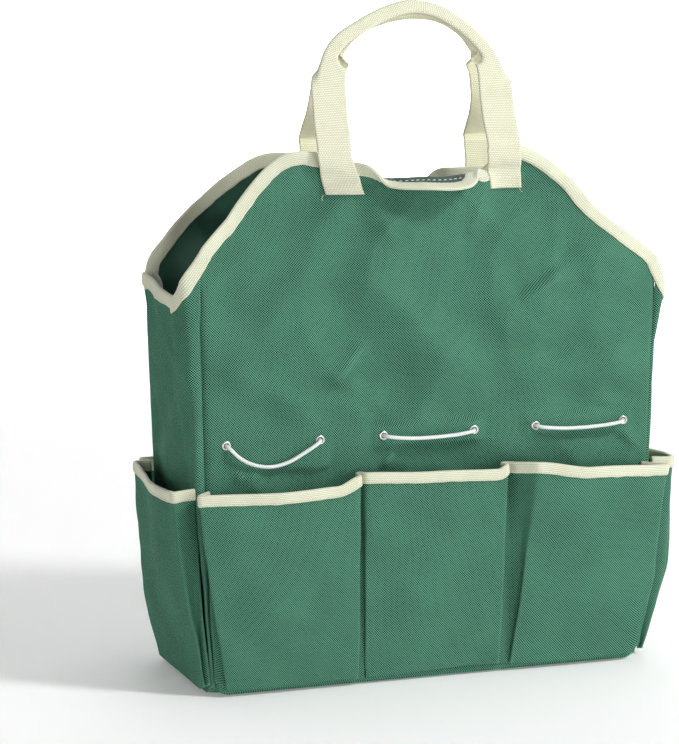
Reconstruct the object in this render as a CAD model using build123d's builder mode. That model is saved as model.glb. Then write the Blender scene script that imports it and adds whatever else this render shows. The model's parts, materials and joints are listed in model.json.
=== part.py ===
from build123d import *
import os
from math import asin, atan2, cos, degrees, pi, radians, sin, tan

os.makedirs("parts", exist_ok=True)

# Garden tool bag: an open-topped tote of coated polyester on a stiff base, with a pleated row of
# three pockets on each face, a bellows pocket at each end, elastic tool loops in small eyelets and
# two webbing handles. +X is the wearer's right as the front faces -Y, +Z is up, and the origin is
# the middle of the underside. Millimetres.

# Driving dimensions
base_width = 370          # outside, at the underside
base_depth = 140
rim_height = 420          # highest cloth, beside the handles
rim_depth = 108           # outside, front to back, at rim_height
corner_height = 322       # where the rim comes down to a side seam
corner_half_width = 200   # the sides flare a little up to there
shoulder_half_width = 110
saddle_half_width = 52    # the low stretch of rim between the handles
saddle_floor_half_width = 36
saddle_height = 405

fabric = 1.2              # wall of doubled, coated polyester
panel_foot = 1.3          # the walls stand just clear of the bottom panel's top face
tape = 1.0                # one layer of binding tape
binding_width = 10
seam_tape_width = 9
seam_tape_thickness = 1.6

board_thickness = 3
lining_thickness = 0.8
board_width = 364
board_depth = 135

pocket_foot = 5           # the pocket seam's height above the underside
pocket_mouth = 165
pocket_hem = 6            # the sewn band that shuts the pockets at the bottom
pocket_sewn = fabric + tape + 0.1   # how far the sewn-down stretches stand off the wall

eyelet_height = 198
eyelet_row = (-130, 0, 130)   # middles of the three tool loops
eyelet_spread = 38.5          # an eyelet each side of a loop's middle
eyelet_bore = 2.1
eyelet_barrel = 2.5
eyelet_flange = 3.8
eyelet_lip = 0.7

cord_diameter = 3
cord_inside = 3.8         # how far a cord runs in behind the face of the wall
knot_radius = 3.4
knot_length = 5

strap_width = 30
strap_middle = 70         # from the bag's middle to a strap's middle
strap_thickness = 1.8
strap_foot = 389          # lower end of the sewn strap
hinge_height = 421.8      # the straps fold over the rim here
hinge_gap = 0.3           # between the fold line and the strap's face
strap_gap = 1.2           # from the fold line up to the swinging strap
grip_radius = 87          # outer edge of the loop
grip_centre = 40          # its centre, above the fold line
grip_inner_radius = 57.5
grip_inner_centre = 60.5
grip_thickness = 5        # webbing folded and sewn to itself
grip_start = 84           # the folded stretch begins this far above the fold line

# Wall planes: local x runs along the wall, local y up it and local z straight out of it
wall_lean = atan2((base_depth - rim_depth) / 2, rim_height)
front = Plane(
    origin=(0, -base_depth / 2, 0),
    x_dir=(1, 0, 0),
    z_dir=(0, -cos(wall_lean), sin(wall_lean)),
)
side_flare = atan2(corner_half_width - base_width / 2, corner_height)
left = Plane(
    origin=(-base_width / 2, 0, 0),
    x_dir=(0, -1, 0),
    z_dir=(-cos(side_flare), 0, -sin(side_flare)),
)


def save(piece, name):
    """Label a finished piece and write its STEP file."""
    piece.part.label = name
    export_step(piece.part, f"parts/{name}.step")


def level(wall, height):
    """The plane across a wall at a height along it: local x as the wall's, local y inwards."""
    return Plane(
        origin=wall.from_local_coords(Vector(0, height, 0)),
        x_dir=wall.x_dir,
        z_dir=wall.y_dir,
    )


def shifted(points, distance):
    """The open polyline moved sideways, to the left of its own direction, with mitred corners."""
    steps = [Vector(*b) - Vector(*a) for a, b in zip(points, points[1:])]
    normals = [Vector(-s.Y, s.X).normalized() for s in steps]
    moved = []
    for i, point in enumerate(points):
        before = normals[max(i - 1, 0)]
        after = normals[min(i, len(normals) - 1)]
        mitre = (before + after) / (1 + before.dot(after))
        moved.append(Vector(*point) + mitre * distance)
    return [(p.X, p.Y) for p in moved]


def cloth_line(corners, height, inwards):
    """A pleated strip's plan at a height along its wall, as (along, in) points on the level plane.
    Each corner is (along at the foot, along at the mouth, out at the foot, out at the mouth) on
    the strip's outer face, and inwards shifts the line into the cloth."""
    share = (height - pocket_foot) / (pocket_mouth - pocket_foot)
    foot = shifted([(x, -out) for x, _, out, _ in corners], inwards)
    mouth = shifted([(x, -out) for _, x, _, out in corners], inwards)
    return [
        (x0 + (x1 - x0) * share, y0 + (y1 - y0) * share) for (x0, y0), (x1, y1) in zip(foot, mouth)
    ]


def ribbon(wall, corners, low, high, outer, inner):
    """Cloth on edge between two heights of a wall, from outer to inner inwards of its outer face."""
    with BuildPart() as strip:
        for height in (low, high):
            near = cloth_line(corners, height, outer)
            far = cloth_line(corners, height, inner)
            with BuildSketch(level(wall, height)):
                with BuildLine():
                    Polyline(*near, *reversed(far), close=True)
                make_face()
        loft(ruled=True)
    return strip.part


def mouth_binding(wall, corners):
    """Tape folded over a pocket's mouth: a layer outside, a layer inside and the fold on top."""
    foot = pocket_mouth - binding_width
    outer = ribbon(wall, corners, foot, pocket_mouth, -tape, 0)
    inner = ribbon(wall, corners, foot, pocket_mouth, fabric, fabric + tape)
    near = cloth_line(corners, pocket_mouth, -tape)
    far = cloth_line(corners, pocket_mouth, fabric + tape)
    with BuildPart() as binding:
        add(outer)
        add(inner)
        with BuildSketch(level(wall, pocket_mouth)):
            with BuildLine():
                Polyline(*near, *reversed(far), close=True)
            make_face()
        extrude(amount=tape)
    return binding.part


# Rim -----------------------------------------------------------------------------------------
def rim_line(drop):
    """The rim from the left side seam to the right one, lowered by drop."""
    half = [
        (corner_half_width, corner_height - drop),
        (shoulder_half_width, rim_height - drop),
        (saddle_half_width, rim_height - drop),
        (saddle_floor_half_width, saddle_height - drop),
    ]
    return [(-x, y) for x, y in half] + list(reversed(half))


rim_radii = [50, 12, 12, 12, 12, 50]
eyelet_places = [
    (middle + side * eyelet_spread, eyelet_height) for middle in eyelet_row for side in (-1, 1)
]

# Front and back panels -------------------------------------------------------------------------
with BuildPart() as front_panel:
    with BuildSketch(front):
        with BuildLine():
            rim = FilletPolyline(*rim_line(tape), radius=rim_radii)
            Polyline(
                rim @ 0,
                (-base_width / 2, panel_foot),
                (base_width / 2, panel_foot),
                rim @ 1,
            )
        make_face()
        with Locations(*eyelet_places):
            Circle(eyelet_barrel + 0.1, mode=Mode.SUBTRACT)
    extrude(amount=-fabric)
save(front_panel, "front_panel")

with BuildPart() as front_rim_binding:
    with BuildSketch(front.offset(tape)):
        with BuildLine():
            FilletPolyline(*rim_line(0), radius=rim_radii)
            offset(amount=binding_width, side=Side.RIGHT)
        make_face()
    extrude(amount=-(fabric + 2 * tape))
    add(front_panel.part, mode=Mode.SUBTRACT)
save(front_rim_binding, "front_rim_binding")

# Gussets -----------------------------------------------------------------------------------------
gusset_dip = 16           # the middle of a gusset's rim hangs this far below its corners
gusset_crease = 14        # its lowest point is this far forward of the middle


def wall_half_depth(height):
    """Half the inside depth between the front and back panels."""
    return base_depth / 2 - height * tan(wall_lean) - fabric / cos(wall_lean)


def gusset_rim(drop):
    """The gusset's top edge from back to front, lowered by drop."""
    reach = wall_half_depth(corner_height)
    return [
        (-reach, corner_height - drop),
        (gusset_crease, corner_height - gusset_dip - drop),
        (reach, corner_height - drop),
    ]


gusset_foot = wall_half_depth(panel_foot)
with BuildPart() as left_gusset:
    with BuildSketch(left):
        with BuildLine():
            top = FilletPolyline(*gusset_rim(tape), radius=30)
            Polyline(top @ 0, (-gusset_foot, panel_foot), (gusset_foot, panel_foot), top @ 1)
        make_face()
    extrude(amount=-fabric)
save(left_gusset, "left_gusset")

with BuildPart() as left_gusset_binding:
    with BuildSketch(left.offset(tape)):
        with BuildLine():
            FilletPolyline(*gusset_rim(0), radius=30)
            offset(amount=binding_width, side=Side.RIGHT)
        make_face()
    extrude(amount=-(fabric + 2 * tape))
    add(left_gusset.part, mode=Mode.SUBTRACT)
    add(front_panel.part, mode=Mode.SUBTRACT)
    mirror(front_panel.part, about=Plane.XZ, mode=Mode.SUBTRACT)
    add(front_rim_binding.part, mode=Mode.SUBTRACT)
    mirror(front_rim_binding.part, about=Plane.XZ, mode=Mode.SUBTRACT)
save(left_gusset_binding, "left_gusset_binding")

# Base ------------------------------------------------------------------------------------------
with BuildPart() as bottom_panel:
    with BuildSketch():
        Rectangle(base_width, base_depth)
    extrude(amount=fabric)
save(bottom_panel, "bottom_panel")

with BuildPart() as base_board:
    with BuildSketch(Plane.XY.offset(fabric)):
        RectangleRounded(board_width, board_depth, 10)
    extrude(amount=board_thickness)
save(base_board, "base_board")

with BuildPart() as base_lining:
    with BuildSketch(Plane.XY.offset(fabric + board_thickness)):
        RectangleRounded(board_width, board_depth, 10)
    extrude(amount=lining_thickness)
save(base_lining, "base_lining")

# Tape over the raw edges of the four upright seams, inside the bag --------------------------------
seam_tape_foot = 8
seam_tape_top = corner_height - 2 * binding_width
with BuildPart() as front_left_seam_tape:
    with BuildSketch(front.offset(-fabric)):
        with BuildLine():
            foot_x = -base_width / 2 - seam_tape_foot * tan(side_flare) + fabric + 0.2
            top_x = -base_width / 2 - seam_tape_top * tan(side_flare) + fabric + 0.2
            Polyline(
                (foot_x, seam_tape_foot),
                (foot_x + seam_tape_width, seam_tape_foot),
                (top_x + seam_tape_width, seam_tape_top),
                (top_x, seam_tape_top),
                close=True,
            )
        make_face()
    extrude(amount=-seam_tape_thickness)
save(front_left_seam_tape, "front_left_seam_tape")

# Front pockets: one strip, pleated at its ends and at two sewn lines -------------------------------
pocket_swell_foot = 3.8
outer_swell = 21
middle_swell = 13
front_pocket_corners = [
    (-184, -184, pocket_sewn, pocket_sewn),
    (-187, -198, pocket_swell_foot, outer_swell),
    (-64, -65, pocket_swell_foot, outer_swell - 4),
    (-63, -63, pocket_sewn, pocket_sewn),
    (-59, -59, pocket_sewn, pocket_sewn),
    (-58, -57, pocket_swell_foot, middle_swell),
    (58, 63, pocket_swell_foot, middle_swell - 2),
    (59, 60, pocket_sewn, pocket_sewn),
    (63, 66, pocket_sewn, pocket_sewn),
    (64, 87, pocket_swell_foot, outer_swell - 4),
    (187, 198, pocket_swell_foot, outer_swell),
    (184, 184, pocket_sewn, pocket_sewn),
]


front_strip = ribbon(front, front_pocket_corners, pocket_foot, pocket_mouth, 0, fabric)
with BuildPart() as front_pocket_panel:
    add(front_strip)
    with BuildSketch(front):
        with Locations((0, pocket_foot + pocket_hem / 2)):
            Rectangle(base_width, pocket_hem)
    extrude(amount=pocket_swell_foot)
save(front_pocket_panel, "front_pocket_panel")

with BuildPart() as front_pocket_binding:
    add(mouth_binding(front, front_pocket_corners))
save(front_pocket_binding, "front_pocket_binding")

# Side pockets: one bellows pocket over each gusset ---------------------------------------------------
side_pocket_corners = [
    (-67, -61, pocket_sewn, pocket_sewn),
    (-69, -66, pocket_swell_foot, 15),
    (69, 64, pocket_swell_foot, 18),
    (67, 61, pocket_sewn, pocket_sewn),
]


side_strip = ribbon(left, side_pocket_corners, pocket_foot, pocket_mouth, 0, fabric)
with BuildPart() as left_side_pocket:
    add(side_strip)
    with BuildSketch(left):
        with Locations((0, pocket_foot + pocket_hem / 2)):
            Rectangle(base_depth - 2, pocket_hem)
    extrude(amount=pocket_swell_foot)
save(left_side_pocket, "left_side_pocket")

with BuildPart() as left_side_pocket_binding:
    add(mouth_binding(left, side_pocket_corners))
save(left_side_pocket_binding, "left_side_pocket_binding")

# Eyelets -----------------------------------------------------------------------------------------------
with BuildPart() as eyelet:
    with BuildSketch(Plane.XZ):
        with BuildLine():
            Polyline(
                (eyelet_bore, -fabric - eyelet_lip),
                (eyelet_flange, -fabric - eyelet_lip),
                (eyelet_flange, -fabric),
                (eyelet_barrel, -fabric),
                (eyelet_barrel, 0),
                (eyelet_flange, 0),
                (eyelet_flange, eyelet_lip),
                (eyelet_bore, eyelet_lip),
                close=True,
            )
        make_face()
    revolve(axis=Axis.Z)

with BuildPart(front) as front_eyelets:
    with Locations(*eyelet_places):
        add(eyelet.part)
save(front_eyelets, "front_eyelets")

# Elastic tool loops: each goes in through one eyelet, across the face and out through the next --------
# Route points are (along, up, out) from the loop's middle at eyelet height, on the wall's face.
tight_route = [
    (-38.5, 0, -cord_inside),
    (-38.5, 0, 1.2),
    (-35, -0.7, 5.2),
    (-27, -1.8, 5.6),
    (-13, -3.2, 4.4),
    (4, -3.4, 3.8),
    (19, -2.7, 4.2),
    (29, -1.5, 5.4),
    (35.6, -0.5, 4.8),
    (38.5, 0, 1.0),
    (38.5, 0, -cord_inside),
]
slack_route = [
    (-38.5, 0, -cord_inside),
    (-38.5, 0, 1.2),
    (-36, -2.6, 4.6),
    (-31.5, -8, 5.4),
    (-21, -15, 4.6),
    (-5, -19, 3.8),
    (11, -16, 4.2),
    (24.5, -8.4, 4.8),
    (33, -3.4, 5.4),
    (37.2, -0.6, 4.2),
    (38.5, 0, 0.6),
    (38.5, 0, -cord_inside),
]


def bend_radii(points):
    """The largest arc that the runs beside each corner have room for."""
    runs = [b - a for a, b in zip(points, points[1:])]
    radii = []
    for before, after in zip(runs, runs[1:]):
        turn = radians(before.get_angle(after))
        radii.append(0.45 * min(before.length, after.length) / tan(turn / 2))
    return radii


def make_cord(middle, route, name):
    """One elastic cord: a round tube along its route on the front wall."""
    points = [
        front.from_local_coords(Vector(middle + along, eyelet_height + up, out))
        for along, up, out in route
    ]
    radii = bend_radii(points)
    with BuildPart() as cord:
        with BuildLine() as line:
            path = FilletPolyline(*points, radius=radii)
        with BuildSketch(Plane(origin=path @ 0, z_dir=path % 0)):
            Circle(cord_diameter / 2)
        sweep(path=line.wires()[0])
    expected = pi * cord_diameter**2 / 4 * path.length
    print(name, "radii", [round(r, 1) for r in radii])
    print(name, "length", round(path.length, 1), "volume", round(cord.part.volume / expected, 4))
    return cord


cord_names = ("left_cord", "middle_cord", "right_cord")
cord_routes = (slack_route, tight_route, tight_route)
for cord_name, middle, route in zip(cord_names, eyelet_row, cord_routes):
    front_cord = make_cord(middle, route, f"front_{cord_name}")
    save(front_cord, f"front_{cord_name}")
    with BuildPart() as back_cord:
        mirror(front_cord.part, about=Plane.XZ)
    save(back_cord, f"back_{cord_name}")

with BuildPart(front.offset(-cord_inside)) as front_cord_knots:
    with Locations(*eyelet_places):
        Cylinder(knot_radius, knot_length, align=(Align.CENTER, Align.CENTER, Align.MAX))
    fillet(front_cord_knots.edges().filter_by(GeomType.CIRCLE), 1.4)
save(front_cord_knots, "front_cord_knots")

# Handles ---------------------------------------------------------------------------------------------------
strap_face = tape + strap_thickness
with BuildPart() as front_handle_ends:
    with BuildSketch(front):
        for side in (-1, 1):
            with Locations((side * strap_middle, strap_foot)):
                Rectangle(
                    strap_width,
                    rim_height - strap_foot,
                    align=(Align.CENTER, Align.MIN),
                )
    extrude(amount=strap_face)
    add(front_rim_binding.part, mode=Mode.SUBTRACT)
save(front_handle_ends, "front_handle_ends")

# The two loops lean together until their grips meet over the bag's middle.
hinge = front.from_local_coords(Vector(0, hinge_height, strap_face + hinge_gap))
grip_top = grip_centre + grip_radius
grip_back = hinge_gap + (strap_thickness + grip_thickness) / 2
grip_clearance = 0.4
handle_lean = asin((-hinge.Y - grip_clearance) / (grip_top**2 + grip_back**2) ** 0.5)
handle_lean -= atan2(grip_back, grip_top)
handle_plane = Plane(
    origin=hinge,
    x_dir=(1, 0, 0),
    z_dir=(0, -cos(handle_lean), sin(handle_lean)),
)
print("hinge", hinge, "lean", round(degrees(handle_lean), 2))
strap_outer = strap_middle + strap_width / 2
strap_inner = strap_middle - strap_width / 2


with BuildSketch() as handle_shape:
    with BuildLine():
        Line((strap_outer, strap_gap), (grip_radius, grip_centre))
        CenterArc((0, grip_centre), grip_radius, 0, 180)
        Polyline(
            (-grip_radius, grip_centre),
            (-strap_outer, strap_gap),
            (-strap_inner, strap_gap),
            (-grip_inner_radius, grip_inner_centre),
        )
        CenterArc((0, grip_inner_centre), grip_inner_radius, 0, 180)
        Polyline(
            (grip_inner_radius, grip_inner_centre),
            (strap_inner, strap_gap),
            (strap_outer, strap_gap),
        )
    make_face()

with BuildSketch() as grip_shape:
    add(handle_shape.sketch)
    with Locations((0, grip_start)):
        Rectangle(
            2 * grip_radius,
            grip_radius,
            align=(Align.CENTER, Align.MIN),
            mode=Mode.INTERSECT,
        )

with BuildPart() as front_handle:
    with BuildSketch(handle_plane.offset(-hinge_gap)):
        add(handle_shape.sketch)
    extrude(amount=-strap_thickness)
    with BuildSketch(handle_plane.offset(-grip_back)):
        add(grip_shape.sketch)
    extrude(amount=grip_thickness)
save(front_handle, "front_handle")

# The back repeats the front, and the right end repeats the left ------------------------------------------
mirrored = {
    "back_panel": (front_panel, Plane.XZ),
    "back_rim_binding": (front_rim_binding, Plane.XZ),
    "back_pocket_panel": (front_pocket_panel, Plane.XZ),
    "back_pocket_binding": (front_pocket_binding, Plane.XZ),
    "back_eyelets": (front_eyelets, Plane.XZ),
    "back_cord_knots": (front_cord_knots, Plane.XZ),
    "back_handle_ends": (front_handle_ends, Plane.XZ),
    "back_handle": (front_handle, Plane.XZ),
    "right_gusset": (left_gusset, Plane.YZ),
    "right_gusset_binding": (left_gusset_binding, Plane.YZ),
    "right_side_pocket": (left_side_pocket, Plane.YZ),
    "right_side_pocket_binding": (left_side_pocket_binding, Plane.YZ),
    "front_right_seam_tape": (front_left_seam_tape, Plane.YZ),
    "back_left_seam_tape": (front_left_seam_tape, Plane.XZ),
}
for name, (piece, about) in mirrored.items():
    with BuildPart() as twin:
        mirror(piece.part, about=about)
    save(twin, name)

with BuildPart() as back_right_seam_tape:
    mirror(twin.part, about=Plane.YZ)
save(back_right_seam_tape, "back_right_seam_tape")
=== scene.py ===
import json
import math

import bmesh
import bpy
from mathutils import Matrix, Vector, noise


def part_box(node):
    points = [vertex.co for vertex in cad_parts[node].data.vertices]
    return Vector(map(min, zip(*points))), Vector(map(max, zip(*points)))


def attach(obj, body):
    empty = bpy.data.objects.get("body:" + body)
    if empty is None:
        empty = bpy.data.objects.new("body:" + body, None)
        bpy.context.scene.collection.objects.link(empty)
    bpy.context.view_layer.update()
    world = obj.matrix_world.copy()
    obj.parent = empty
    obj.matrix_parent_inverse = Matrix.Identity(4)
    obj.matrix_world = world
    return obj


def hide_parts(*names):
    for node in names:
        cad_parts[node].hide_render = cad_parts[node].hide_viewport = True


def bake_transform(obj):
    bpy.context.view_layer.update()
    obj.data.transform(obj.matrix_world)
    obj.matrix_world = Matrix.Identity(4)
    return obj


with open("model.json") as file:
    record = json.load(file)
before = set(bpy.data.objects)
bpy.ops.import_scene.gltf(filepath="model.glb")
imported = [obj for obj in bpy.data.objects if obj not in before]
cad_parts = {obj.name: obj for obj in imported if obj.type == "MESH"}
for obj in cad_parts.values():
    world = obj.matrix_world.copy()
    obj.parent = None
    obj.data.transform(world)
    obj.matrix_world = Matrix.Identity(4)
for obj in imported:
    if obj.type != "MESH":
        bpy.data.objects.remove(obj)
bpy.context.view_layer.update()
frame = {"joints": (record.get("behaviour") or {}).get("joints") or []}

# Garden tool bag. Lengths are millimetres in the bag's own frame until a mesh is made, which is
# in metres. A point on a wall is (along, up, out): along the wall, up it and out from its face.
# A flat pattern is the cloth before it is shaped: (x, up), with x along the wall.

MM = 0.001
joints = {joint["name"]: joint for joint in frame["joints"]}

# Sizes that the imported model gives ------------
base_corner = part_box("bottom_panel")[1]
half_width = base_corner.x / MM
half_depth = base_corner.y / MM
outward = joints["front_middle_cord_stretch"]["axis"]
wall_lean = math.asin(abs(outward[2]))
gusset_low, gusset_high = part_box("left_gusset")
side_flare = math.atan2(-gusset_low.x / MM - half_width, gusset_high.z / MM)
hinge = Vector(joints["front_handle_swing"]["pos_m"]) / MM
board_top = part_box("base_board")[1].z / MM
pocket_mouth = 165
eyelet_height = 198
tool_loops = {"left": -130, "middle": 0, "right": 130}
eyelet_spread = 38.5

fabric = 1.2
tape = 0.8
tape_width = 10
webbing = 1.6
weave_step = 3.0      # spacing of the mesh lines in the big cloths
eyelets_at = [
    (middle + side * eyelet_spread, side) for middle in tool_loops.values() for side in (-1, 1)
]


# Small sums ------------
def smooth(x):
    x = min(1.0, max(0.0, x))
    return x * x * (3 - 2 * x)


def hump(x):
    """1 at 0, falling softly to 0 at -1 and 1."""
    return (1 - min(1.0, x * x)) ** 2


def mix(a, b, share):
    return a + (b - a) * share


def ripple(x, y, size, seed):
    """Seeded soft noise, -1 to 1, with features about that size."""
    return noise.noise(Vector((x / size, y / size, seed * 7.31)))


def spaced(points, step):
    """Points about that far apart along a smooth curve through the given ones."""
    points = [Vector(p) for p in points]
    fine = []
    last = len(points) - 1
    for i in range(last):
        before = points[max(i - 1, 0)]
        after = points[min(i + 2, last)]
        a, b = points[i], points[i + 1]
        for k in range(24):
            t = k / 24
            slope_a = (b - before) * 0.5
            slope_b = (after - a) * 0.5
            fine.append(
                a * (2 * t**3 - 3 * t**2 + 1)
                + slope_a * (t**3 - 2 * t**2 + t)
                + b * (3 * t**2 - 2 * t**3)
                + slope_b * (t**3 - t**2)
            )
    fine.append(points[-1])
    return even(fine, step)


def even(points, step):
    """The polyline cut again into equal steps."""
    marks = [0.0]
    for a, b in zip(points, points[1:]):
        marks.append(marks[-1] + (b - a).length)
    count = max(2, round(marks[-1] / step))
    cut = []
    i = 0
    for k in range(count + 1):
        want = marks[-1] * k / count
        while i < len(points) - 2 and marks[i + 1] < want:
            i += 1
        run = marks[i + 1] - marks[i]
        share = (want - marks[i]) / run if run else 0.0
        cut.append(points[i].lerp(points[i + 1], min(1.0, share)))
    return cut


def fold_over(reach, start, radius, turn):
    """Cloth that bends away past start: its (height, distance out) at a reach along the cloth."""
    past = reach - start
    if past <= 0 or turn <= 0:
        return reach, 0.0
    if past <= radius * turn:
        angle = past / radius
        return start + radius * math.sin(angle), radius * (1 - math.cos(angle))
    rest = past - radius * turn
    height = start + radius * math.sin(turn) + rest * math.cos(turn)
    return height, radius * (1 - math.cos(turn)) + rest * math.sin(turn)


def heading(line, i):
    """The unit direction of a line at its point number i."""
    return (line[min(i + 1, len(line) - 1)] - line[max(i - 1, 0)]).normalized()


def circle(centre, across, rise, radius, sides):
    """Points round a centre, the first one across from it and the next towards rise."""
    angles = [2 * math.pi * k / sides for k in range(sides)]
    return [centre + (across * math.cos(a) + rise * math.sin(a)) * radius for a in angles]


# The four walls ------------
def front_wall(x, up, out):
    y = -half_depth + up * math.sin(wall_lean) - out * math.cos(wall_lean)
    return Vector((x, y, up * math.cos(wall_lean) + out * math.sin(wall_lean)))


def back_wall(x, up, out):
    point = front_wall(x, up, out)
    return Vector((point.x, -point.y, point.z))


def left_wall(along, up, out):
    x = -half_width - up * math.sin(side_flare) - out * math.cos(side_flare)
    return Vector((x, -along, up * math.cos(side_flare) - out * math.sin(side_flare)))


def right_wall(along, up, out):
    point = left_wall(along, up, out)
    return Vector((-point.x, point.y, point.z))


def seam_x(up):
    return half_width + up * math.tan(side_flare)


def seam_depth(up):
    return half_depth - up * math.tan(wall_lean)


corner_radius = 15
corner_tall = 75      # the roundness fades out by this height
corner_lift = 5.5


def rounded_corner(point):
    """Near the floor the bag's upright corners are round and a little off the ground."""
    share = 1 - smooth(point.z / corner_tall)
    dx = abs(point.x) - (half_width - corner_radius)
    dy = abs(point.y) - (half_depth - corner_radius)
    if share <= 0 or dx <= 0 or dy <= 0:
        return point
    shrink = mix(1.0, max(dx, dy) / math.hypot(dx, dy), share)
    x = math.copysign(half_width - corner_radius + dx * shrink, point.x)
    y = math.copysign(half_depth - corner_radius + dy * shrink, point.y)
    lift = corner_lift * share * smooth(min(dx, dy) / corner_radius)
    return Vector((x, y, point.z + lift))


class Cloth:
    """A piece of cloth: shape takes its flat pattern (x, up) to (along, up, out) on a wall."""

    def __init__(self, wall, shape):
        self.wall = wall
        self.shape = shape
        self.mirrored = wall in (back_wall, right_wall)

    def at(self, x, up, lift=0.0):
        along, height, out = self.shape(x, up)
        point = rounded_corner(self.wall(along, height, out - fabric / 2))
        if lift:
            point = point + self.normal(x, up) * lift
        return point

    def normal(self, x, up, reach=1.0):
        across = self.at(x + reach, up) - self.at(x - reach, up)
        rise = self.at(x, up + reach) - self.at(x, up - reach)
        normal = across.cross(rise).normalized()
        return -normal if self.mirrored else normal


# Meshes ------------
def new_object(name, data, materials=()):
    thing = bpy.data.objects.new(name, data)
    bpy.context.scene.collection.objects.link(thing)
    for material in materials:
        data.materials.append(material)
    if thing.type == "MESH":
        data.shade_smooth()
    return thing


def grid_object(name, rows, pattern, materials, flip=False, ring=False):
    """A sheet through rows of points in mm. pattern gives each point's place in the weave, in mm,
    and ring joins the last point of each row to its first."""
    mesh = bpy.data.meshes.new(name)
    wide = len(rows[0])
    points = [point * MM for row in rows for point in row]
    faces = []
    corners = []
    for j in range(len(rows) - 1):
        for i in range(wide if ring else wide - 1):
            k = (i + 1) % wide
            loop = [(j, i), (j, k), (j + 1, k), (j + 1, i)]
            if flip:
                loop.reverse()
            faces.append([a * wide + b for a, b in loop])
            corners.extend(loop)
    mesh.from_pydata(points, [], faces)
    layer = mesh.uv_layers.new(name="cloth")
    for place, (j, i) in zip(layer.data, corners):
        place.uv = pattern(j, i)
    return new_object(name, mesh, materials)


def applied(thing):
    """Bake the object's modifiers into its mesh."""
    graph = bpy.context.evaluated_depsgraph_get()
    mesh = bpy.data.meshes.new_from_object(thing.evaluated_get(graph))
    thing.modifiers.clear()
    thing.data = mesh


def thicken(thing, thickness, inside=0):
    """Give a sheet its thickness, centred on itself, with another material on its inner face."""
    solid = thing.modifiers.new("thickness", "SOLIDIFY")
    solid.thickness = thickness * MM
    solid.offset = 0
    solid.material_offset = inside
    applied(thing)


def finish_piece(thing, replaced=(), body="root"):
    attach(thing, body)
    if replaced:
        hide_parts(*replaced)


def blend_piece(thing, replaced):
    """A piece that stands in for those parts: they are hidden and its placement is baked into its mesh.
    It is attached to no body.
    """
    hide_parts(*replaced)
    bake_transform(thing)


def band(work, rings, closed=False):
    """Faces between rings of points in mm, which become vertices of work."""
    rows = [[work.verts.new(point * MM) for point in ring] for ring in rings]
    for a, b in zip(rows, rows[1:] + (rows[:1] if closed else [])):
        for k in range(len(a)):
            n = (k + 1) % len(a)
            work.faces.new([a[k], a[n], b[n], b[k]])
    return rows


def built(work, name, materials):
    """The object that a bmesh describes."""
    bmesh.ops.recalc_face_normals(work, faces=work.faces)
    mesh = bpy.data.meshes.new(name)
    work.to_mesh(mesh)
    work.free()
    return new_object(name, mesh, materials)


def cap(thing, loops):
    """Close the open ends of a mesh: each loop lists its vertices in order."""
    work = bmesh.new()
    work.from_mesh(thing.data)
    work.verts.ensure_lookup_table()
    for loop in loops:
        work.faces.new([work.verts[i] for i in loop])
    bmesh.ops.triangulate(work, faces=work.faces[-len(loops):])
    bmesh.ops.recalc_face_normals(work, faces=work.faces)
    work.to_mesh(thing.data)
    work.free()


def sweep(name, rings, materials, flip=False, step=1.0):
    """A closed tube through rings of points, step mm apart, with flat caps."""
    middle = rings[len(rings) // 2]
    round_it = [0.0]
    for a, b in zip(middle, middle[1:]):
        round_it.append(round_it[-1] + (b - a).length)
    thing = grid_object(
        name, rings, lambda j, i: (j * step, round_it[i]), materials, flip, ring=True
    )
    first = list(range(len(rings[0])))
    last = [(len(rings) - 1) * len(first) + i for i in first]
    cap(thing, [first, last[::-1]] if flip else [first[::-1], last])
    thing.data.shade_smooth()
    return thing


class Threads:
    """Many short stitches gathered in one mesh."""

    # (share of the length, share of the radius, lift in radii) of each ring of a stitch
    profile = [
        (0.0, 0.35, -0.6), (0.18, 0.9, 0.5), (0.5, 1.0, 0.8), (0.82, 0.9, 0.5), (1.0, 0.35, -0.6),
    ]
    sides = 6
    grain = 0.6           # stitches start and end on points this far apart

    def __init__(self):
        self.work = bmesh.new()

    def stitch(self, start, end, normal, radius):
        """A stitch from start to end in mm, its ends pulled down into the cloth."""
        side = (end - start).normalized().cross(normal).normalized()
        rings = []
        for share, size, lift in self.profile:
            centre = start.lerp(end, share) + normal * (lift * radius)
            rings.append(circle(centre, side, normal, radius * size, self.sides))
        rows = band(self.work, rings)
        self.work.faces.new(rows[0][::-1])
        self.work.faces.new(rows[-1])

    def run(self, points, normals, radius=0.28, length=2.6, pitch=3.6):
        """Stitches along a line of points in mm."""
        line = even(points, self.grain)
        share = (len(normals) - 1) / max(1, len(line) - 1)
        per_pitch = max(2, round(pitch / self.grain))
        per_length = max(1, round(length / self.grain))
        for i in range(0, len(line) - per_length, per_pitch):
            normal = normals[min(len(normals) - 1, round(i * share))]
            self.stitch(line[i], line[i + per_length], normal, radius)

    def tail(self, start, steps, radius=0.22):
        """A loose end of thread through a few bends."""
        normal = Vector((0.0, -1.0, 0.2)).normalized()
        for step in steps:
            end = start + Vector(step)
            self.stitch(start, end, normal, radius)
            start = end

    def build(self, name, material, body="root"):
        finish_piece(built(self.work, name, [material]), body=body)


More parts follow.
